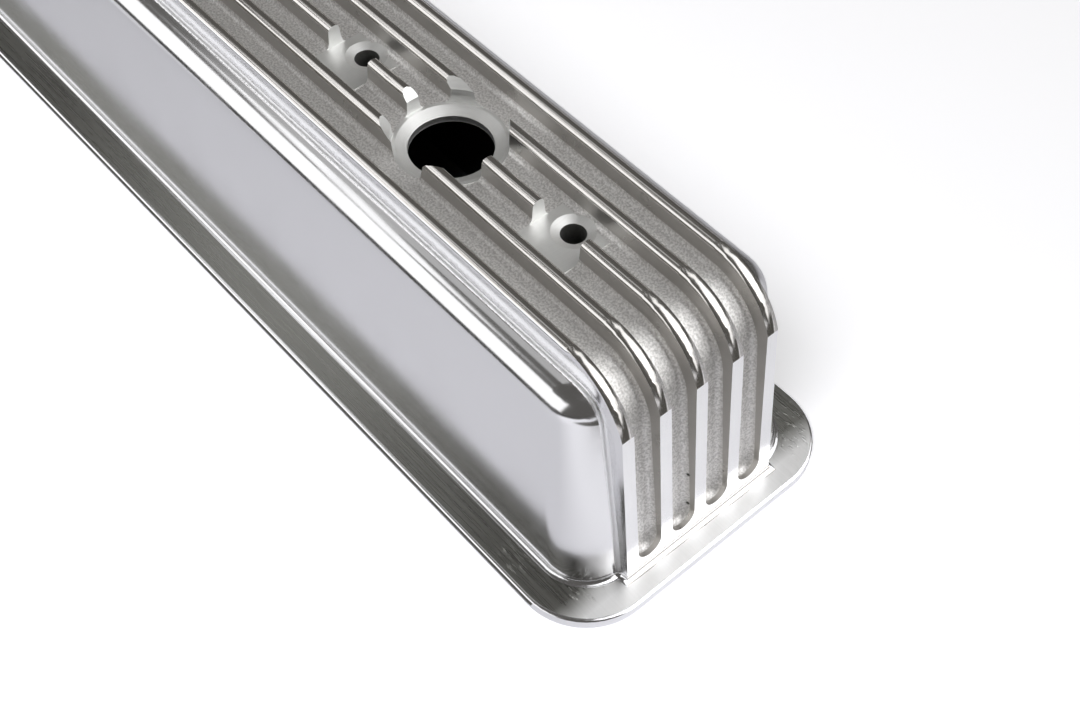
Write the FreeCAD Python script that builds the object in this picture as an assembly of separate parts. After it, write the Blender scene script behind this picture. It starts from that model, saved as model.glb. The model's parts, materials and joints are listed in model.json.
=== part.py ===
import FreeCAD, Part
import math
import os

# Engine valve cover, one aluminium casting, in millimetres.
# X runs along the cover, Y across it and Z up. The origin is the middle of the sealing face.
# Both ends and both long sides are alike, apart from the bolt row and the breather hole.

V = FreeCAD.Vector

# Rail: the flat flange that seals on the cylinder head
rail_length = 500.0
rail_width = 128.0
rail_thickness = 5.0
rail_corner_radius = 26.5
rail_edge_bevel = 1.0
gasket_groove_inset = 5.0
gasket_groove_width = 6.0
gasket_groove_depth = 2.2

# Body: the drafted box that stands on the rail, measured where it meets the rail
body_end_margin = 13.0
body_side_margin = 12.7
body_length = rail_length - 2 * body_end_margin
body_width = rail_width - 2 * body_side_margin
body_height = 90.0
side_draft = 4.3
end_draft = 7.2
body_corner_radius = 17.5
shoulder_radius = 10.3
rail_fillet_radius = 2.2
wall = 4.0

# Fins: a band that runs along the top and down over both ends
fin_count = 5
band_margin = 0.9
fin_height = 9.0
fin_crest_width = 4.4
fin_crest_edge_radius = 1.8
fin_flank_draft = 5.4
fin_bend_radius = 30.0
fin_bend_inset = 44.6
groove_fillet_radius = 2.4
groove_bend_radius = 21.5
pocket_bottom_height = 10.0
fin_foot_fillet_radius = 2.4
cove_steps = 3
crest_edge_steps = 2

# Ground faces on the fin ends
ground_face_draft = 5.5
ground_face_inset = 9.0

# Bolt holes: a row beside the middle fin, each on a smooth pad
bolt_count = 4
bolt_end_margin = 82.36
bolt_spacing = (rail_length - 2 * bolt_end_margin) / (bolt_count - 1)
bolt_row_offset = 5.0
bolt_hole_radius = 4.5
bolt_dish_radius = 7.7
bolt_dish_depth = 1.3
bolt_pad_length = 23.0
bolt_pad_side_gap = 2.15
bolt_boss_radius = 9.0
bolt_boss_drop = 12.0
pad_rise = 0.3

# Breather hole between two bolts
breather_shift = 1.76
breather_x = bolt_spacing - breather_shift
breather_y = 0.3
breather_hole_radius = 15.0
breather_seat_radius = 19.0
breather_dish_depth = 1.8
fin_clearance_radius = 20.3
fin_chamfer_width = 3.5
fin_chamfer_depth = 3.1

# Overlap between solids that are joined, and reach of a cutting tool past the metal
bite = 2.0
reach = 6.0


def tan(angle):
    return math.tan(math.radians(angle))


def sin(angle):
    return math.sin(math.radians(angle))


def cos(angle):
    return math.cos(math.radians(angle))


def face(points):
    """Flat face through points. A point given as a pair is an arc's middle and end point."""
    edges = []
    here = points[0]
    for step in points[1:] + points[:1]:
        if isinstance(step, tuple):
            middle, there = step
            edges.append(Part.Arc(here, middle, there).toShape())
        else:
            there = step
            if not here.isEqual(there, 1e-7):
                edges.append(Part.LineSegment(here, there).toShape())
        here = there
    return Part.Face(Part.Wire(edges))


def on_circle(centre, radius, angle):
    """Point in the XZ plane, at an angle measured from X towards Z."""
    return centre + V(radius * cos(angle), 0, radius * sin(angle))


def mirrored(shape):
    """The same shape at the other end of the cover."""
    return shape.mirror(V(0, 0, 0), V(1, 0, 0))


def rounded_plate(length, width, radius, bottom, top):
    """Flat plate with round corners, centred on the origin."""
    plate = Part.makeBox(length, width, top - bottom, V(-length / 2, -width / 2, bottom))
    uprights = [e for e in plate.Edges if abs(e.tangentAt(e.FirstParameter).z) > 0.99]
    return plate.makeFillet(radius, uprights)


def drafted_box(length, width, bottom, top, corner_radius, top_radius):
    """Box with drafted walls and round edges. Its length and width hold at the rail's top face."""
    rims = []
    for z in (bottom, top):
        rise = z - rail_thickness
        half_x = length / 2 - rise * tan(end_draft)
        half_y = width / 2 - rise * tan(side_draft)
        rims.append([V(x, y, z) for x, y in
                     ((-half_x, -half_y), (half_x, -half_y), (half_x, half_y), (-half_x, half_y))])
    low, high = rims
    walls = [face([low[i - 1], low[i], high[i], high[i - 1]]) for i in range(4)]
    box = Part.Solid(Part.Shell(walls + [face(low), face(high)]))
    uprights = [e for e in box.Edges if abs(e.tangentAt(e.FirstParameter).z) > 0.7]
    box = box.makeFillet(corner_radius, uprights)
    rim = [e for e in box.Edges if all(abs(v.Z - top) < 1e-6 for v in e.Vertexes)]
    return box.makeFillet(top_radius, rim)


def end_profile(length, top, radius, draft, half_width, bottom):
    """Prism across the cover whose outline has drafted ends that bend into a flat top."""
    centre_z = top - radius
    centre_x = length / 2 - (centre_z - rail_thickness) * tan(draft) - radius / cos(draft)
    centre = V(centre_x, -half_width, centre_z)
    foot = V(length / 2 - (bottom - rail_thickness) * tan(draft), -half_width, bottom)
    side = on_circle(centre, radius, draft)
    middle = on_circle(centre, radius, (90 + draft) / 2)
    crown = on_circle(centre, radius, 90)

    def other(point):
        return V(-point.x, point.y, point.z)

    outline = [foot, side, (middle, crown), other(crown), (other(middle), other(side)), other(foot)]
    return face(outline).extrude(V(0, 2 * half_width, 0))


# The fins share out the flat top between the two shoulders
crest_z = body_height + fin_height
shoulder_foot = shoulder_radius / tan((90 + side_draft) / 2)
flat_half_width = body_width / 2 - (body_height - rail_thickness) * tan(side_draft) - shoulder_foot
band_half_width = flat_half_width - band_margin
fin_base_width = fin_crest_width + 2 * fin_height * tan(fin_flank_draft)
fin_pitch = (2 * band_half_width - fin_base_width) / (fin_count - 1)
groove_half_floor = (fin_pitch - fin_base_width) / 2
bolt_pad_width = 2 * fin_pitch - fin_base_width - 2 * bolt_pad_side_gap

# The groove floor follows the body: flat on top, then round a bend and down the drafted end wall
bend_z = body_height - groove_bend_radius
bend_x = body_length / 2 - (bend_z - rail_thickness) * tan(end_draft) - groove_bend_radius / cos(end_draft)
bend_axis_point = V(bend_x, 0, bend_z)
bend_turn = 90 - end_draft
down_the_end = V(sin(end_draft), 0, -cos(end_draft))
out_of_the_end = V(cos(end_draft), 0, sin(end_draft))
bend_end_z = bend_z + groove_bend_radius * sin(end_draft)


def cove():
    """Rounded corner at a groove's floor, as distances from its middle and heights over its floor."""
    radius = groove_fillet_radius
    middle = groove_half_floor + radius * tan(fin_flank_draft) - radius / cos(fin_flank_draft)
    turns = [(90 - fin_flank_draft) * step / cove_steps for step in range(cove_steps + 1)]
    return [(middle + radius * sin(turn), radius - radius * cos(turn)) for turn in turns]


def crest_edge():
    """Rounded edge of the fin beside a groove, in the same two measures, and the way up out of it."""
    radius = fin_crest_edge_radius
    low = fin_height - radius
    middle = groove_half_floor + low * tan(fin_flank_draft) + radius / cos(fin_flank_draft)
    steps = range(crest_edge_steps + 1)
    turns = [fin_flank_draft + (90 - fin_flank_draft) * step / crest_edge_steps for step in steps]
    edge = [(middle - radius * cos(turn), low + radius * sin(turn)) for turn in turns]
    return edge + [(middle, fin_height + reach)]


def groove_section(half):
    """Section of a groove at the start of the bend, or the half of it at +Y."""
    right = [V(bend_x, y, body_height + n) for y, n in cove() + crest_edge()]
    if half:
        return face([V(bend_x, 0, body_height)] + right + [V(bend_x, 0, right[-1].z)])
    left = [V(point.x, -point.y, point.z) for point in right]
    return face(right + left[::-1])


def over_the_end(section, length_down):
    """Sweep a section from end to end: along the top, round each bend and down each end wall."""
    along = section.extrude(V(-2 * bend_x, 0, 0))
    bend = section.revolve(bend_axis_point, V(0, 1, 0), bend_turn)
    turned = section.copy()
    turned.rotate(bend_axis_point, V(0, 1, 0), bend_turn)
    down = turned.extrude(down_the_end * length_down)
    return [along, bend, down, mirrored(bend), mirrored(down)]


def groove():
    """Cutter for the groove between two fins, with a round pocket bottom above the land strip."""
    length_down = (bend_end_z - pocket_bottom_height - groove_half_floor) / cos(end_draft)
    pieces = over_the_end(groove_section(False), length_down)
    half = groove_section(True)
    half.rotate(bend_axis_point, V(0, 1, 0), bend_turn)
    half.translate(down_the_end * length_down)
    pocket_centre = bend_axis_point + out_of_the_end * groove_bend_radius + down_the_end * length_down
    pocket = half.revolve(pocket_centre, out_of_the_end * -1, 180)
    pieces += [pocket, mirrored(pocket)]
    return pieces[0].fuse(pieces[1:]).removeSplitter()


def outer_flank():
    """Cutter for the outer flank of the last fin, which runs down to the rail."""
    depth = groove_bend_radius / 2
    beside = fin_count / 2 * fin_pitch
    deep = band_half_width + depth * tan(fin_flank_draft)
    far = band_half_width + reach + bite
    points = [(deep, -depth)] + [(beside - y, n) for y, n in crest_edge()]
    points += [(far, fin_height + reach), (far, -depth)]
    section = face([V(bend_x, y, body_height + n) for y, n in points])
    length_down = (bend_end_z - rail_thickness + 2 * bite) / cos(end_draft)
    pieces = over_the_end(section, length_down)
    return pieces[0].fuse(pieces[1:]).removeSplitter()


def band():
    """Block that the fins are left standing in once the grooves are cut."""
    radius = fin_bend_radius
    centre_x = rail_length / 2 - fin_bend_inset
    length = 2 * (centre_x + radius / cos(end_draft) + (crest_z - radius - rail_thickness) * tan(end_draft))
    block = end_profile(length, crest_z, radius, end_draft, band_half_width + reach, rail_thickness - bite)
    flank = outer_flank()
    return block.cut([flank, flank.mirror(V(0, 0, 0), V(0, 1, 0))])


def ground_envelope():
    """Wide block whose drafted ends are the flat planes that the fin ends are ground to."""
    foot = rail_length / 2 - ground_face_inset
    top = crest_z + reach
    low = rail_thickness - bite
    foot_low = foot + bite * tan(ground_face_draft)
    foot_high = foot - (top - rail_thickness) * tan(ground_face_draft)
    y = -rail_width / 2
    outline = [V(-foot_low, y, low), V(foot_low, y, low), V(foot_high, y, top), V(-foot_high, y, top)]
    return face(outline).extrude(V(0, rail_width, 0))


def finned_body():
    """Body with the band fused on, its grooves cut and its ends ground."""
    low = rail_thickness - bite
    body = drafted_box(body_length, body_width, low, body_height, body_corner_radius, shoulder_radius)
    solid = body.fuse(band()).removeSplitter()
    cutter = groove()
    cutters = []
    for index in range(fin_count - 1):
        shifted = cutter.copy()
        shifted.translate(V(0, (index - (fin_count - 2) / 2) * fin_pitch, 0))
        cutters.append(shifted)
    return solid.cut(cutters).common(ground_envelope()).removeSplitter()


def rail():
    """Flat flange with round corners and a bevelled top edge."""
    plate = rounded_plate(rail_length, rail_width, rail_corner_radius, 0, rail_thickness)
    rim = [e for e in plate.Edges if all(abs(v.Z - rail_thickness) < 1e-6 for v in e.Vertexes)]
    return plate.makeChamfer(rail_edge_bevel, rim)


def cavity():
    """Hollow under the cover, one wall thickness inside the body and the groove floors."""
    length = body_length - 2 * wall / cos(end_draft)
    width = body_width - 2 * wall / cos(side_draft)
    top = body_height - wall
    inner_corner = body_corner_radius - wall
    inner_shoulder = shoulder_radius - wall
    box = drafted_box(length, width, -bite, top, inner_corner, inner_shoulder)
    bent = end_profile(length, top, groove_bend_radius - wall, end_draft, rail_width / 2, -2 * bite)
    return box.common(bent)


def gasket_groove():
    """Ring-shaped groove under the rail that holds the gasket."""
    inset = gasket_groove_inset
    outer = rounded_plate(rail_length - 2 * inset, rail_width - 2 * inset, rail_corner_radius - inset,
                          -bite, gasket_groove_depth)
    inset = gasket_groove_inset + gasket_groove_width
    inner = rounded_plate(rail_length - 2 * inset, rail_width - 2 * inset, rail_corner_radius - inset,
                          -2 * bite, gasket_groove_depth + bite)
    return outer.cut(inner)


def bolt_places():
    """Positions of the bolt holes along the row."""
    return [(index - (bolt_count - 1) / 2) * bolt_spacing for index in range(bolt_count)]


def bolt_pad(x, width, bottom, height):
    """Block as long as a bolt pad, centred over one."""
    return Part.makeBox(bolt_pad_length, width, height, V(x - bolt_pad_length / 2, -width / 2, bottom))


def add_bolt_seats(solid):
    """Interrupt the middle fin, add the pads and bosses, and drill the dished bolt holes."""
    pad_z = body_height + pad_rise
    above = crest_z + reach
    gaps = []
    pads = []
    holes = []
    for x in bolt_places():
        gaps.append(bolt_pad(x, fin_pitch, pad_z, above))
        pads.append(bolt_pad(x, bolt_pad_width, body_height - bite, bite + pad_rise))
        foot = V(x, bolt_row_offset, body_height - wall - bolt_boss_drop)
        pads.append(Part.makeCylinder(bolt_boss_radius, bolt_boss_drop + bite, foot))
        holes.append(Part.makeCylinder(bolt_hole_radius, above, V(x, bolt_row_offset, foot.z - bite)))
        dish_foot = V(x, bolt_row_offset, pad_z - bolt_dish_depth)
        holes.append(Part.makeCone(bolt_hole_radius, bolt_dish_radius, bolt_dish_depth, dish_foot))
        holes.append(Part.makeCylinder(bolt_dish_radius, pad_rise + bite, V(x, bolt_row_offset, pad_z)))
    solid = solid.cut(gaps)
    solid = solid.fuse(pads).removeSplitter()
    return solid.cut(holes).removeSplitter()


def add_breather(solid):
    """Cut three fins back round the breather hole, and bore it with its dished seat."""
    seat_z = body_height + pad_rise
    above = crest_z + reach
    centre = V(breather_x, breather_y, 0)
    clearance = Part.makeCylinder(fin_clearance_radius, above, centre + V(0, 0, seat_z))
    slope = fin_chamfer_width / fin_chamfer_depth
    cone_foot = crest_z - fin_chamfer_depth
    cone = Part.makeCone(fin_clearance_radius, fin_clearance_radius + slope * (fin_chamfer_depth + reach),
                         fin_chamfer_depth + reach, centre + V(0, 0, cone_foot))
    side = fin_clearance_radius + slope * (fin_chamfer_depth + reach)
    far_half = Part.makeBox(side, 2 * side, above, V(breather_x - side, breather_y - side, cone_foot))
    solid = solid.cut([clearance, cone.common(far_half)])
    seat = Part.makeCylinder(fin_clearance_radius, bite + pad_rise, centre + V(0, 0, body_height - bite))
    solid = solid.fuse(seat).removeSplitter()
    bore = Part.makeCylinder(breather_hole_radius, above, centre)
    dish_foot = centre + V(0, 0, seat_z - breather_dish_depth)
    dish = Part.makeCone(breather_hole_radius, breather_seat_radius, breather_dish_depth, dish_foot)
    return solid.cut([bore, dish]).removeSplitter()


def join_rail(solid):
    """Fuse the rail on, and blend the body, the outer fins and the land strips into its top."""
    solid = solid.fuse(rail()).removeSplitter()
    joint = []
    for edge in solid.Edges:
        level = all(abs(v.Z - rail_thickness) < 1e-4 for v in edge.Vertexes) and edge.BoundBox.ZLength < 1e-3
        inside = all(abs(v.X) < rail_length / 2 - rail_edge_bevel - bite for v in edge.Vertexes)
        inside = inside and all(abs(v.Y) < rail_width / 2 - rail_edge_bevel - bite for v in edge.Vertexes)
        if level and inside:
            joint.append(edge)
    return solid.makeFillet(rail_fillet_radius, joint)


def round_fin_feet(solid):
    """Blend the outer fins into the body, along the top, round the bends and down to the rail."""
    feet = []
    for edge in solid.Edges:
        level = all(abs(v.Z - body_height) < 1e-4 for v in edge.Vertexes) and edge.BoundBox.ZLength < 1e-3
        outer = all(abs(abs(v.Y) - band_half_width) < 1e-3 for v in edge.Vertexes)
        if level and outer and edge.BoundBox.XLength > bend_x:
            feet.append(edge)
    return solid.makeFillet(fin_foot_fillet_radius, feet)


def valve_cover():
    """The whole casting."""
    solid = join_rail(round_fin_feet(finned_body()))
    solid = solid.cut([cavity(), gasket_groove()]).removeSplitter()
    solid = add_bolt_seats(solid)
    return add_breather(solid)


os.makedirs("parts", exist_ok=True)
valve_cover().exportStep("parts/valve_cover.step")
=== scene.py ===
import bmesh
import bpy
import json
import math
from mathutils import Euler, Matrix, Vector


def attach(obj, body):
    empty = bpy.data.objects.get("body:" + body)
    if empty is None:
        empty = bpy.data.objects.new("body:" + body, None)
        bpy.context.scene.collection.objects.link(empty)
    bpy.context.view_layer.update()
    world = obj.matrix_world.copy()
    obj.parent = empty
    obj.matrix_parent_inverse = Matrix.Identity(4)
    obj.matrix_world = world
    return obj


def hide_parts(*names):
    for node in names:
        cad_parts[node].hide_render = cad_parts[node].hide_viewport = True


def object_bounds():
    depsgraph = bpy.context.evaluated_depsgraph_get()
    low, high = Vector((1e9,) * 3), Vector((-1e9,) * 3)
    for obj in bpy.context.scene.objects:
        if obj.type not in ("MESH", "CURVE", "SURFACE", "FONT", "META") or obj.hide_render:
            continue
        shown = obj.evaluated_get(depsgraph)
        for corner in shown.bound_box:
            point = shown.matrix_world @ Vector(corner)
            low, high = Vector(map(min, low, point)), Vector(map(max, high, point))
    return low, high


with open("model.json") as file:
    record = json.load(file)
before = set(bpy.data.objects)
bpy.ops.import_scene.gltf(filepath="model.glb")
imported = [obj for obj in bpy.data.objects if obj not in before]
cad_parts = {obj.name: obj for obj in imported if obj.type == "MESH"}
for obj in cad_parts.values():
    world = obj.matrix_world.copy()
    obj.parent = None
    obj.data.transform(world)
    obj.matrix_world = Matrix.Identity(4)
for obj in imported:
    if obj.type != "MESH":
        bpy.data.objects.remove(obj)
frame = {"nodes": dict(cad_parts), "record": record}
cad_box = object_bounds()

# A finned, polished engine valve cover on a white sweep, lit by soft boxes. All lengths are in metres.

# Camera: where it stands, how it is turned in degrees, how far it sees, and the lens that frames the photo
camera_place = (0.4081, -0.2122, 0.4449)
camera_turn = (36.49, -0.93, 48.31)
nearest_seen = 0.01
farthest_seen = 20
photo_width = 1080
photo_height = 720
focal_length_px = 1473.4
optical_centre_px = (584.3, 384.2)
sensor_width_mm = 36.0

# The casting's outer size, and its holes as the record's mounts give them in millimetres
half_length, half_width, crest_z = cad_box[1]
mounts = {mount["name"]: mount for mount in frame["record"]["mounts"]}
breather_x, breather_y = mounts["breather_hole"]["pos_m"][:2]
bolt_pairs = (mounts["bolts_inner"], mounts["bolts_outer"])
bolt_places = [side * pair["dims"]["spacing_x_mm"] / 2000 for pair in bolt_pairs for side in (-1, 1)]
bolt_row_y = bolt_pairs[0]["pos_m"][1]
bolt_hole_radius = bolt_pairs[0]["dims"]["hole_r_mm"] / 1000

# Sizes of the rail, the body and the machined places, which the finishes follow
rail_top_z = 0.005
rail_bevel = 0.001
rail_edge_width = 0.0049
fin_height = 0.009
body_top_z = crest_z - fin_height
wall = 0.004
pad_rise = 0.0003
pad_z = body_top_z + pad_rise
roof_z = body_top_z - wall
bolt_dish_radius = 0.0077
bolt_boss_radius = 0.009
breather_clear_radius = 0.0203
cutter_rings_per_metre = 2200
fin_chamfer_width = 0.0035
fin_chamfer_foot_z = crest_z - 0.0035

# The finned band: its half width, and how the groove floors run round the bends and down the end walls
band_half_width = 0.0345
outer_fin_y = 0.0316
bend_radius = 0.0215
bend_centre_x = half_length - 0.0427
bend_centre_z = body_top_z - bend_radius
end_wall_foot = half_length - 0.013
end_wall_slope = math.tan(math.radians(7.2))
front_foot = half_length - 0.009
front_slope = math.tan(math.radians(5.5))

# Heights over the groove floor where the cove ends and the crest's edge starts, and the outer fins' foot
cove_height = 0.0018
crest_edge_height = 0.0073
outer_foot_height = 0.0016
outer_foot_width = 0.0008

# How near a face has to lie to a surface, and how much of its normal has to point along an axis, to count
hair = 0.0001
hole_wall_tilt = 0.1
downward = -0.01
sideways = 0.6
squarely = 0.9
nearly_sideways = 0.95
level = 0.99

# The rail's sides, darkened by painted shade, turn into its ends, brightened by painted light, between
# these distances from the middle
rail_painted_light_start = 0.233
rail_painted_light_full = 0.242

# Marks that the photo shows: dings and scratches on the rail, and pits low in a groove on the end, whose
# dark colour is painted shade
rail_dings = (
    (0.2335, -0.0475, rail_top_z),
    (0.210, -0.0565, rail_top_z),
    (0.230, 0.058, rail_top_z),
    (0.237, 0.050, rail_top_z),
)
rail_ding_radius = 0.008
casting_pits = ((0.2354, -0.0030, 0.0323), (0.2370, -0.0031, 0.0165))
casting_pit_radius = 0.0009
casting_pit_depth = 0.0004
# Colour of the painted shade inside the pits
painted_pit_shade_color = (0.08, 0.08, 0.07)

# Rough line beside the outer fins: distance from the cover's middle, width, and lowest place
seam_y = 0.0350
seam_half_width = 0.0005
seam_raggedness = 0.0007
seam_foot_z = 0.007
seam_depth = 0.0006
seam_dullness = 0.3

# Normals: corners closer than this are joined, a flat patch pulls more than a round one, and a bent
# crest or its edge pulls so little that the flanks keep their own normals
weld_distance = 0.000002
flat_agreement = 0.99999
flat_pull = 1000
crest_bend_start = 0.2
bent_crest_pull = 1e-12

# Largest angles, in degrees, over which two finishes' surfaces still read as one rounded surface
machined_limit = 12
bent_crest_limit = 95
crest_or_rail_limit = 50
other_limit = 35

# The sweep: its half size and colour, and the patch in its middle that the cover hides, painted dark as
# shade
sweep_half_size = 2.5
sweep_color = (0.84, 0.84, 0.88)
hidden_half_length = 0.238
hidden_half_width = 0.052
hidden_painted_shade_color = (0.1, 0.1, 0.1)
hidden_tile = 4

# The sweep's own glow: to the camera, more of it far from the cover, and in the metal past the ends
near_floor_glow = 0.52
far_floor_glow = 1.0
far_floor_start = 0.5
far_floor_full = 1.3
mirrored_glow = 0.24
mirrored_glow_start = 0.22
mirrored_glow_full = 0.27

# Roughness of the sweep and the cards
matt_roughness = 0.9

# Studio round the lamps: dim and warm in the metal, white to the camera
studio_color = (0.098, 0.094, 0.088)
white = (1, 1, 1)

# Lamps: place, the point that each faces, width, height and power in watts
lamps = {
    "key_light": ((0.45, -0.76, 1.2), (0.1, 0, 0), 0.6, 0.6, 15),
    "top_box": ((0.62, 0.55, 1.05), (0.1, 0, 0.05), 1.4, 1.5, 7.3),
    "side_box": ((-0.6, -1.3, 0.72), (0, 0, 0.1), 2.6, 1.2, 11),
    "upper_box": ((-0.82, -0.42, 1.25), (0.05, 0, 0.1), 0.65, 0.32, 0.72),
    "shoulder_box": ((-0.65, 0.05, 1.25), (-0.65, 0.05, 0), 0.9, 0.35, 0.38),
    "near_box": ((0.62, 0.3, 0.62), (0.2, 0, 0.09), 0.8, 0.7, 2.3),
    "end_box": ((1.15, 0.6, 0.44), (0.2, 0, 0.1), 1.3, 0.72, 3.0),
}

# Dark cards that only the metal sees, as painted dark reflections: beside the cover, past its near end, and
# a painted shadow along its near side's foot
painted_reflection_color = (0.13, 0.125, 0.115)
cards = {
    "side_flag": [(-2.0, -0.5, 0), (1.0, -0.5, 0), (1.0, -0.5, 0.085), (-2.0, -0.5, 0.085)],
    "end_flag": [(0.32, -0.2, 0.001), (1.52, -0.2, 0.001), (1.52, 1.1, 0.001), (0.32, 0.3, 0.001)],
    "foot_painted_shadow": [(-0.3, -0.067, 0.0005), (0.225, -0.067, 0.0005),
                  (0.225, -0.0642, 0.0005), (-0.3, -0.0642, 0.0005)],
}


def add_camera():
    """Camera that frames the photo, with the lens's own centre where the photo's is."""
    data = bpy.data.cameras.new("photo_camera")
    data.sensor_width = sensor_width_mm
    data.lens = focal_length_px / photo_width * sensor_width_mm
    data.shift_x = 0.5 - optical_centre_px[0] / photo_width
    data.shift_y = (optical_centre_px[1] - photo_height / 2) / photo_width
    data.clip_start = nearest_seen
    data.clip_end = farthest_seen
    camera = bpy.data.objects.new("photo_camera", data)
    camera.location = camera_place
    camera.rotation_euler = Euler([math.radians(angle) for angle in camera_turn])
    bpy.context.scene.collection.objects.link(camera)
    bpy.context.scene.camera = camera


def new_material(name, color, roughness, metallic=1.0):
    """A node material with its plain values set on the shader."""
    material = bpy.data.materials.new(name)
    material.use_nodes = True
    shader = material.node_tree.nodes["Principled BSDF"]
    shader.inputs["Base Color"].default_value = (*color, 1)
    shader.inputs["Roughness"].default_value = roughness
    shader.inputs["Metallic"].default_value = metallic
    return material


def matt_material(name, color):
    """A dull material without any shine, for the sweep and the cards."""
    material = new_material(name, color, matt_roughness, 0.0)
    material.node_tree.nodes["Principled BSDF"].inputs["Specular IOR Level"].default_value = 0.0
    return material


def texture_shader(material, color=None, roughness=None, normal=None):
    """Put textures on the shader's inputs, each where it is given."""
    shader = material.node_tree.nodes["Principled BSDF"]
    for name, texture in ("Base Color", color), ("Roughness", roughness), ("Normal", normal):
        if texture is not None:
            material.node_tree.links.new(texture, shader.inputs[name])


def feed(material, socket, value):
    """Link a texture to a socket, or set a plain value on it."""
    if isinstance(value, bpy.types.NodeSocket):
        material.node_tree.links.new(value, socket)
    else:
        socket.default_value = value


def add_node(material, kind, inputs, **settings):
    """New node with its settings, and a plain value or a texture on each named input."""
    node = material.node_tree.nodes.new("ShaderNode" + kind)
    for name, value in settings.items():
        setattr(node, name, value)
    for name, value in inputs.items():
        feed(material, node.inputs[name], value)
    return node


def on_casting(material, stretch=(1, 1, 1)):
    """Coordinates on the casting, in metres, stretched along the axes."""
    place = add_node(material, "TexCoord", {}).outputs["Object"]
    return add_node(material, "Mapping", {"Vector": place, "Scale": stretch}).outputs["Vector"]


def noise(material, scale=1.0, stretch=(1, 1, 1), detail=3.0, roughness=0.55):
    """Noise on the casting, with about so many spots to a metre."""
    inputs = {"Vector": on_casting(material, stretch), "Scale": scale}
    inputs.update({"Detail": detail, "Roughness": roughness})
    return add_node(material, "TexNoise", inputs).outputs["Fac"]


def spread(material, value, low, high, start=0.35, end=0.65):
    """Remap a texture's range, by default its middle, to the range from low to high."""
    inputs = {"Value": value, "From Min": start, "From Max": end, "To Min": low, "To Max": high}
    return add_node(material, "MapRange", inputs).outputs["Result"]


def tint(material, value, dark, light):
    """Mix two colours, plain or textured, by a texture."""
    dark, light = ((*color, 1) if isinstance(color, tuple) else color for color in (dark, light))
    inputs = {"Factor": value, "A": dark, "B": light}
    return add_node(material, "Mix", inputs, data_type="RGBA").outputs["Result"]


def roughen(material, height, depth, strength=1.0, after=None):
    """Bump of a real depth in metres, on top of an earlier one where that is given."""
    inputs = {"Height": height, "Distance": depth, "Strength": strength}
    if after is not None:
        inputs["Normal"] = after
    return add_node(material, "Bump", inputs).outputs["Normal"]


def calculate(material, operation, *values):
    """One sum on textures or plain numbers."""
    node = add_node(material, "Math", {}, operation=operation)
    for socket, value in zip(node.inputs, values):
        feed(material, socket, value)
    return node.outputs[0]


def from_middle(material, axis):
    """Distance from the middle of the cover's foot along an axis, either way."""
    split = add_node(material, "SeparateXYZ", {"Vector": on_casting(material)})
    return calculate(material, "ABSOLUTE", split.outputs[axis])


def distance_from(material, place):
    """Distance of the surface from a place on the casting."""
    away = add_node(material, "VectorMath", {}, operation="DISTANCE")
    feed(material, away.inputs[0], on_casting(material))
    feed(material, away.inputs[1], place)
    return away.outputs["Value"]


def spots(material, places, radius):
    """Soft round spots: one at each place's middle, nought from a radius away from all of them."""
    found = [spread(material, distance_from(material, place), 1, 0, radius / 2, radius) for place in places]
    total = found[0]
    for spot in found[1:]:
        total = calculate(material, "MAXIMUM", spot, total)
    return total


def rough_seam(material, grain):
    """Ragged line beside the outer fins, where the polishing wheel couldn't reach the casting's skin."""
    off = calculate(material, "SUBTRACT", from_middle(material, "Y"), seam_y)
    off = calculate(material, "ABSOLUTE", off)
    ragged = calculate(material, "MULTIPLY_ADD", grain, seam_raggedness, off)
    line = spread(material, ragged, 1, 0, seam_half_width, seam_half_width + seam_raggedness)
    over_rail = calculate(material, "GREATER_THAN", from_middle(material, "Z"), seam_foot_z)
    return calculate(material, "MULTIPLY", line, over_rail)


def polished():
    """Mirror-bright sides, shoulders and outer flanks, with faint haze, hairlines and the rough seam."""
    material = new_material("polished_aluminium", (0.87, 0.87, 0.89), 0.16)
    grain = noise(material, scale=2000, detail=2.0, roughness=0.6)
    seam = rough_seam(material, grain)
    haze = spread(material, noise(material, scale=30), low=0.13, high=0.19)
    dull = calculate(material, "MULTIPLY_ADD", seam, seam_dullness, haze)
    hairlines = noise(material, stretch=(20, 900, 900))
    buffed = roughen(material, hairlines, depth=0.000004, strength=0.3)
    skin = calculate(material, "MULTIPLY", seam, grain)
    texture_shader(material, roughness=dull, normal=roughen(material, skin, seam_depth, after=buffed))
    return material


def brushed_rail():
    """Top of the rail, with painted shade darkening its sides and painted light brightening its ends, and
    with scratches and small dings.
    """
    material = new_material("brushed_rail", (0.42, 0.42, 0.40), 0.3)
    scratches = noise(material, stretch=(25, 1400, 1400), roughness=0.6)
    painted_light_at_end = spread(material, from_middle(material, "X"), 0, 1, rail_painted_light_start, rail_painted_light_full)
    # The sides' dark colour is painted shade and the ends' bright colour is painted light
    side = tint(material, scratches, dark=(0.24, 0.24, 0.22), light=(0.36, 0.36, 0.34))
    end = tint(material, scratches, dark=(0.84, 0.84, 0.84), light=(0.96, 0.96, 0.96))
    worn = calculate(material, "MULTIPLY", painted_light_at_end, 0.2)
    dull = calculate(material, "ADD", spread(material, scratches, low=0.24, high=0.34), worn)
    cuts = noise(material, stretch=(260, 1100, 260), detail=2.0, roughness=0.5)
    cuts = spread(material, cuts, low=0, high=1, start=0.58, end=0.66)
    dented = calculate(material, "MULTIPLY", cuts, spots(material, rail_dings, rail_ding_radius))
    brushed = roughen(material, scratches, depth=0.000003, strength=0.5)
    dented = roughen(material, dented, depth=0.0002, after=brushed)
    texture_shader(material, tint(material, painted_light_at_end, side, end), dull, dented)
    return material


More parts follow.
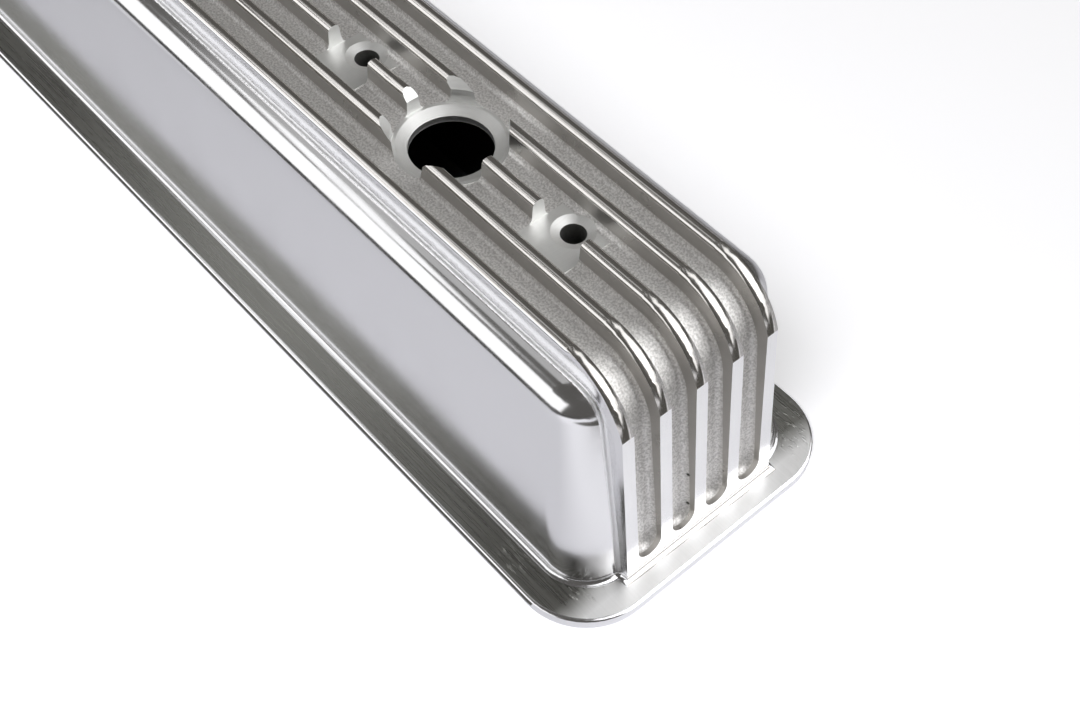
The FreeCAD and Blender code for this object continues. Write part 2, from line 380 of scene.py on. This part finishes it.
def buffed_crest():
    """Crests of the fins, buffed by the wheel that passed along them."""
    material = new_material("buffed_crest", (0.80, 0.78, 0.76), 0.16)
    scratches = noise(material, stretch=(30, 1500, 1500), detail=4.0, roughness=0.65)
    dull = spread(material, scratches, low=0.12, high=0.22)
    buffed = roughen(material, scratches, depth=0.000008, strength=0.5)
    texture_shader(material, roughness=dull, normal=buffed)
    return material


def satin_flank():
    """Flanks of the fins beside the grooves, half polished, with the sand's grain still in them."""
    material = new_material("satin_flank", (0.52, 0.50, 0.48), 0.30)
    grain = noise(material, scale=1500, roughness=0.6)
    blotch = noise(material, scale=90, roughness=0.6)
    pits = spots(material, casting_pits, casting_pit_radius)
    metal = tint(material, blotch, dark=(0.44, 0.43, 0.41), light=(0.60, 0.58, 0.56))
    dull = spread(material, blotch, low=0.26, high=0.40)
    sunk = roughen(material, pits, depth=-casting_pit_depth)
    sandy = roughen(material, grain, depth=0.00004, strength=0.35, after=sunk)
    # The pits' dark colour is painted shade
    texture_shader(material, tint(material, pits, metal, painted_pit_shade_color), dull, sandy)
    return material


def sand_cast():
    """Groove floors as cast, with a speckled sand grain."""
    material = new_material("sand_cast", (0.80, 0.79, 0.78), 0.59)
    grain = noise(material, scale=1300, detail=2.0, roughness=0.6)
    lumps = noise(material, scale=450, detail=2.0, roughness=0.5)
    pits = spots(material, casting_pits, casting_pit_radius)
    speckle = spread(material, grain, low=0, high=1, start=0.4, end=0.6)
    metal = tint(material, speckle, dark=(0.68, 0.67, 0.66), light=(0.94, 0.93, 0.92))
    dull = spread(material, lumps, low=0.54, high=0.64)
    coarse = roughen(material, lumps, depth=0.00008, strength=0.5)
    sunk = roughen(material, pits, depth=-casting_pit_depth, after=coarse)
    sandy = roughen(material, grain, depth=0.00004, strength=0.5, after=sunk)
    # The pits' dark colour is painted shade
    texture_shader(material, tint(material, pits, metal, painted_pit_shade_color), dull, sandy)
    return material


def ground_front():
    """Flat fronts of the fins and land strips, ground bright on a belt that ran up and down."""
    material = new_material("ground_front", (0.90, 0.90, 0.91), 0.14)
    marks = noise(material, stretch=(900, 900, 25), detail=4.0, roughness=0.65)
    dull = spread(material, marks, low=0.10, high=0.2)
    ground = roughen(material, marks, depth=0.000006, strength=0.5)
    texture_shader(material, roughness=dull, normal=ground)
    return material


def milled():
    """Bolt pads, breather seat, cut fin ends and the sealing face, with the cutter's rings."""
    material = new_material("milled_face", (0.90, 0.90, 0.89), 0.48)
    smear = noise(material, scale=160, roughness=0.6)
    from_seat = distance_from(material, (breather_x, breather_y, pad_z))
    inputs = {"Scale": cutter_rings_per_metre, "W": from_seat}
    rings = add_node(material, "TexNoise", inputs, noise_dimensions="1D").outputs["Fac"]
    metal = tint(material, smear, dark=(0.80, 0.80, 0.79), light=(0.92, 0.925, 0.915))
    dull = spread(material, rings, low=0.44, high=0.62)
    texture_shader(material, metal, dull, roughen(material, rings, depth=0.00002, strength=0.6))
    return material


def raw_inside_painted_shade():
    """Hollow underside as cast, darker than the show side by painted shade in the hollow."""
    material = new_material("raw_inside_painted_shade", (0.3, 0.3, 0.29), 0.6)
    grain = noise(material, scale=900, detail=4.0, roughness=0.6)
    # The dark colour is painted shade inside the hollow
    metal = tint(material, grain, dark=(0.24, 0.24, 0.23), light=(0.38, 0.38, 0.37))
    texture_shader(material, color=metal, normal=roughen(material, grain, depth=0.0001, strength=0.7))
    return material


def height_over_groove(x, z):
    """Distance out of the groove floor, along the top, round the bend or down the end wall."""
    out = abs(x) - bend_centre_x
    if out <= 0:
        return z - body_top_z
    up = z - bend_centre_z
    if up > out * end_wall_slope:
        return math.hypot(out, up) - bend_radius
    wall_x = end_wall_foot - (z - rail_top_z) * end_wall_slope
    return (abs(x) - wall_x) / math.hypot(1, end_wall_slope)


def finish_below(x, y, z, normal):
    """Finish of the sealing face, the bolt holes, the hollow and the rail, or None above them."""
    from_bolt = min(math.hypot(x - bolt_x, y - bolt_row_y) for bolt_x in bolt_places)
    if z < hair:
        return "milled"
    if from_bolt < bolt_hole_radius + hair and abs(normal.z) < hole_wall_tilt:
        return "inside"
    if from_bolt < bolt_dish_radius and z < pad_z:
        return "milled"
    if z < roof_z + hair and (normal.z < downward or from_bolt < bolt_boss_radius):
        return "inside"
    if z < rail_top_z - rail_bevel - hair:
        in_from_edge = min(half_width - abs(y), half_length - abs(x))
        return "inside" if in_from_edge > rail_edge_width else "polished"
    if z < rail_top_z + hair:
        return "rail" if normal.z > squarely else "polished"
    return None


def finish_of_cut(x, y, z, normal):
    """Finish of what was ground or milled: fronts, pads, breather seat and cut fins, or None elsewhere."""
    over = height_over_groove(x, z)
    from_breather = math.hypot(x - breather_x, y - breather_y)
    if from_breather < breather_clear_radius + hair and z > pad_z - wall:
        return "milled"
    front_x = front_foot - (z - rail_top_z) * front_slope
    if abs(abs(x) - front_x) < hair / 2 and abs(normal.x) > squarely:
        return "front"
    if over < pad_rise + hair and abs(normal.z) > level and z > pad_z - hair:
        return "milled"
    if abs(normal.x) > squarely and abs(x) < bend_centre_x and over > 0:
        return "milled"
    by_chamfer = from_breather < breather_clear_radius + fin_chamfer_width + hair
    slanted = abs(normal.y) < squarely and abs(normal.z) < squarely
    if by_chamfer and x < breather_x and z > fin_chamfer_foot_z and slanted:
        return "milled"
    return None


def finish_of_band(y, over, normal):
    """Finish of the grooves and the fins between them, by the height over the groove floor."""
    if over < cove_height:
        return "cast"
    if abs(y) > outer_fin_y and abs(normal.y) > sideways:
        return "polished"
    if over > crest_edge_height and abs(normal.y) < nearly_sideways:
        return "crest"
    return "flank" if abs(normal.y) > sideways else "crest"


def finish_of(centre, normal):
    """Name of the finish at a face, from where it lies and which way it looks."""
    x, y, z = centre
    below = finish_below(x, y, z, normal)
    if below:
        return below
    over = height_over_groove(x, z)
    at_outer_foot = abs(y) > band_half_width - outer_foot_width and over < outer_foot_height
    if abs(y) > band_half_width + hair or at_outer_foot:
        return "polished"
    return finish_of_cut(x, y, z, normal) or finish_of_band(y, over, normal)


def glow_of_sweep(material):
    """Strength of the sweep's glow, which only the camera and the metal see."""
    path = add_node(material, "LightPath", {})
    in_metal = spread(material, from_middle(material, "X"), 0, mirrored_glow,
                      mirrored_glow_start, mirrored_glow_full)
    in_metal = calculate(material, "MULTIPLY", path.outputs["Is Glossy Ray"], in_metal)
    in_view = spread(material, distance_from(material, (0, 0, 0)), near_floor_glow, far_floor_glow,
                     far_floor_start, far_floor_full)
    in_view = calculate(material, "MULTIPLY", path.outputs["Is Camera Ray"], in_view)
    return calculate(material, "ADD", in_metal, in_view)


def add_floor():
    """Pale sweep that reads white to the camera and keeps the cover's shadow, with painted shade under the
    cover.
    """
    mesh = bpy.data.meshes.new("floor")
    xs = (-sweep_half_size, -hidden_half_length, hidden_half_length, sweep_half_size)
    ys = (-sweep_half_size, -hidden_half_width, hidden_half_width, sweep_half_size)
    corners = [(x, y, 0) for y in ys for x in xs]
    row = len(xs)
    starts = [row * line + step for line in range(len(ys) - 1) for step in range(row - 1)]
    tiles = [(start, start + 1, start + row + 1, start + row) for start in starts]
    mesh.from_pydata(corners, [], tiles)
    floor = bpy.data.objects.new("floor", mesh)
    bpy.context.scene.collection.objects.link(floor)
    glowing = matt_material("white_sweep", sweep_color)
    shader = glowing.node_tree.nodes["Principled BSDF"]
    shader.inputs["Emission Color"].default_value = (*white, 1)
    feed(glowing, shader.inputs["Emission Strength"], glow_of_sweep(glowing))
    mesh.materials.append(glowing)
    # The patch under the cover is painted dark as shade
    mesh.materials.append(matt_material("shaded_sweep", hidden_painted_shade_color))
    mesh.polygons[hidden_tile].material_index = 1


def add_card(name, corners):
    """Dark card that shows only in the metal, as a painted dark line or patch in its reflection."""
    mesh = bpy.data.meshes.new(name)
    mesh.from_pydata(corners, [], [(0, 1, 2, 3)])
    mesh.materials.append(matt_material("black_" + name, painted_reflection_color))
    card = bpy.data.objects.new(name, mesh)
    bpy.context.scene.collection.objects.link(card)
    card.visible_camera = False
    card.visible_diffuse = False
    card.visible_shadow = False


def add_lamp(name, place, target, width, height, power):
    """Soft box. The key light lights only the sweep, and the others only the metal."""
    data = bpy.data.lights.new(name, "AREA")
    data.shape = "RECTANGLE"
    data.size = width
    data.size_y = height
    data.energy = power
    lamp = bpy.data.objects.new(name, data)
    lamp.location = place
    lamp.rotation_euler = (Vector(target) - Vector(place)).to_track_quat("-Z", "Y").to_euler()
    lamp.visible_diffuse = name == "key_light"
    lamp.visible_glossy = name != "key_light"
    bpy.context.scene.collection.objects.link(lamp)


def add_world():
    """Dim warm studio round the soft boxes, which the camera sees as white."""
    world = bpy.data.worlds.new("studio")
    world.use_nodes = True
    path = add_node(world, "LightPath", {})
    seen = tint(world, path.outputs["Is Camera Ray"], studio_color, white)
    background = world.node_tree.nodes["Background"]
    feed(world, background.inputs["Color"], seen)
    background.inputs["Strength"].default_value = 1.0
    bpy.context.scene.world = world


def mark_patches(mesh):
    """Number the separate patches of faces, which are the casting's smooth surfaces, and weld them."""
    shape = bmesh.new()
    shape.from_mesh(mesh)
    patch = shape.faces.layers.int.new("patch")
    count = 0
    for seed in shape.faces:
        if seed[patch]:
            continue
        count += 1
        seed[patch] = count
        waiting = [seed]
        while waiting:
            for vertex in waiting.pop().verts:
                for face in vertex.link_faces:
                    if not face[patch]:
                        face[patch] = count
                        waiting.append(face)
    bmesh.ops.remove_doubles(shape, verts=shape.verts, dist=weld_distance)
    shape.to_mesh(mesh)
    shape.free()


def finish_by_patch(mesh, patches):
    """Give each patch the finish that most of its area asks for."""
    votes = {}
    for face in mesh.polygons:
        vote = votes.setdefault(patches[face.index], {})
        name = finish_of(face.center, face.normal)
        vote[name] = vote.get(name, 0.0) + face.area
    return {patch: max(vote, key=vote.get) for patch, vote in votes.items()}


def bent_crests(mesh, patches, finish):
    """Patches of the fins' crests and their edges that run round the bends at the ends."""
    bent = {patch for patch in finish if finish[patch] == "crest"}
    for face in mesh.polygons:
        if abs(face.center.x) < crest_bend_start or face.center.z < bend_centre_z:
            bent.discard(patches[face.index])
    return bent


def pull_of_patches(mesh, patches, bent):
    """How much each patch counts in the shared normals: by its area, and far more where it is flat."""
    area = {}
    facing = {}
    flat = {}
    for face in mesh.polygons:
        patch = patches[face.index]
        area[patch] = area.get(patch, 0.0) + face.area
        facing.setdefault(patch, face.normal.copy())
        flat[patch] = flat.get(patch, True) and face.normal.dot(facing[patch]) > flat_agreement
    pull = {patch: area[patch] ** 2 * (flat_pull if flat[patch] else 1) for patch in area}
    pull.update(dict.fromkeys(bent, bent_crest_pull))
    return pull


def normals_at_vertices(mesh, patches):
    """Each patch's own normal at each vertex, from its faces there, weighted by their corners."""
    meeting = [{} for _ in mesh.vertices]
    for face in mesh.polygons:
        patch = patches[face.index]
        corners = [mesh.vertices[index].co for index in face.vertices]
        for place, index in enumerate(face.vertices):
            before = corners[place - 1] - corners[place]
            after = corners[(place + 1) % len(corners)] - corners[place]
            if before.length and after.length:
                share = face.normal * before.angle(after)
                meeting[index][patch] = meeting[index].get(patch, Vector()) + share
    for at_vertex in meeting:
        for patch in at_vertex:
            at_vertex[patch].normalize()
    return meeting


def smooth_limit(first, second, on_bend):
    """Largest angle, in degrees, between two finishes' surfaces that still reads as one rounded surface."""
    if {"milled", "front"} & {first, second}:
        return machined_limit
    if on_bend:
        return bent_crest_limit
    if {"crest", "rail"} & {first, second}:
        return crest_or_rail_limit
    return other_limit


def shade_by_patch(mesh, patches, finish):
    """Set the normals so that flat faces stay flat and the roundings between them run smoothly.

    A crest on a bend leans halfway to its neighbours at its edges, so that it reads as round across.
    """
    bent = bent_crests(mesh, patches, finish)
    pull = pull_of_patches(mesh, patches, bent)
    meeting = normals_at_vertices(mesh, patches)
    normals = []
    for face in mesh.polygons:
        own = patches[face.index]
        for index in face.vertices:
            here = meeting[index].get(own, face.normal)
            total = Vector()
            for patch, other in meeting[index].items():
                limit = smooth_limit(finish[own], finish[patch], own in bent)
                if here.dot(other) > math.cos(math.radians(limit)):
                    total += other * (1 if own in bent else pull[patch])
            normals.append(total.normalized() if total.length else here)
    mesh.shade_smooth()
    mesh.normals_split_custom_set(normals)


def add_cover():
    """Fine copy of the casting that carries the finishes, face by face."""
    mesh = frame["nodes"]["valve_cover"].data.copy()
    cover = bpy.data.objects.new("cover", mesh)
    bpy.context.scene.collection.objects.link(cover)
    mark_patches(mesh)
    finishes = {"polished": polished(), "rail": brushed_rail(), "crest": buffed_crest(),
                "flank": satin_flank(), "cast": sand_cast(), "front": ground_front(),
                "milled": milled(), "inside": raw_inside_painted_shade()}
    mesh.materials.clear()
    for material in finishes.values():
        mesh.materials.append(material)
    patches = [item.value for item in mesh.attributes["patch"].data]
    finish = finish_by_patch(mesh, patches)
    order = list(finishes)
    for face in mesh.polygons:
        face.material_index = order.index(finish[patches[face.index]])
    shade_by_patch(mesh, patches, finish)
    mesh.attributes.remove(mesh.attributes["patch"])
    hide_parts("valve_cover")
    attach(cover, "root")


add_camera()
add_world()
add_floor()
for name, corners in cards.items():
    add_card(name, corners)
for name, lamp in lamps.items():
    add_lamp(name, *lamp)
add_cover()

bpy.context.scene.view_settings.view_transform = "Standard"
